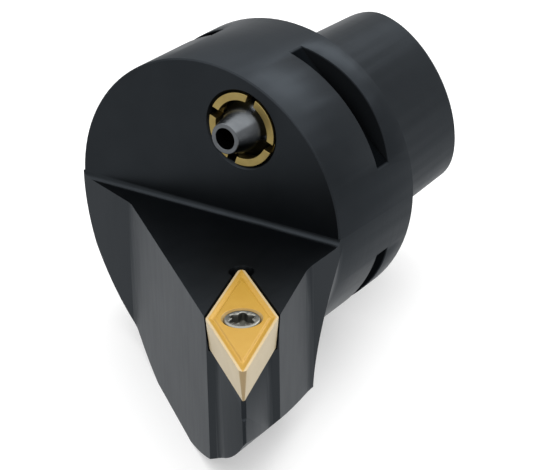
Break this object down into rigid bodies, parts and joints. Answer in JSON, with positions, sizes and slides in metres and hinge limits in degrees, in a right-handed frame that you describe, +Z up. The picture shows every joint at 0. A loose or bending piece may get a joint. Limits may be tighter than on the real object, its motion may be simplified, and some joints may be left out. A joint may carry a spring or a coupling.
{
  "type": "turning tool holder",
  "caption": "Modular turning head: polygonal taper shank and gripper flange, beak with a screwed-on 35 degree rhombic insert, and an adjustable ball nozzle for coolant.",
  "frame": {"origin": "centre of the flange face that seats on the machine's coupling", "axes": "+Y along the shank, out of the coupling bore; +Z up, square to the insert's rake face; +X the side the cutting corner leans to"},
  "size_m": [0.0381, 0.0594, 0.033],
  "materials": {
    "body_steel": "black oxide on milled and turned steel, satin",
    "insert_carbide": "titanium nitride coated carbide, satin",
    "screw_steel": "ground steel",
    "ring_brass": "turned brass",
    "nozzle_steel": "turned stainless steel",
    "seal_rubber": "nitrile rubber"
  },
  "bodies": {
    "head": {"head_body": "body_steel", "nozzle_seal": "seal_rubber"},
    "insert": {"cutting_insert": "insert_carbide"},
    "screw": {"insert_screw": "screw_steel"},
    "ring": {"nozzle_ring": "ring_brass"},
    "nozzle": {"coolant_nozzle": "nozzle_steel"}
  },
  "joints": [
    {"name": "insert_lift", "type": "slide", "parent": "head", "child": "insert", "axis": [0, 0, 1], "range_m": [0, 0.008]},
    {"name": "screw_turn", "type": "hinge", "parent": "insert", "child": "screw", "pos_m": [0.01631, -0.03204, 0], "axis": [0, 0, 1], "continuous": true},
    {"name": "ring_turn", "type": "hinge", "parent": "head", "child": "ring", "pos_m": [0.0045, -0.0118, 0.0097], "axis": [0, -1, 0], "continuous": true},
    {"name": "nozzle_tilt", "type": "hinge", "parent": "ring", "child": "nozzle", "pos_m": [0.0045, -0.0118, 0.0097], "axis": [1, 0, 0], "range_deg": [-15, 15]}
  ]
}
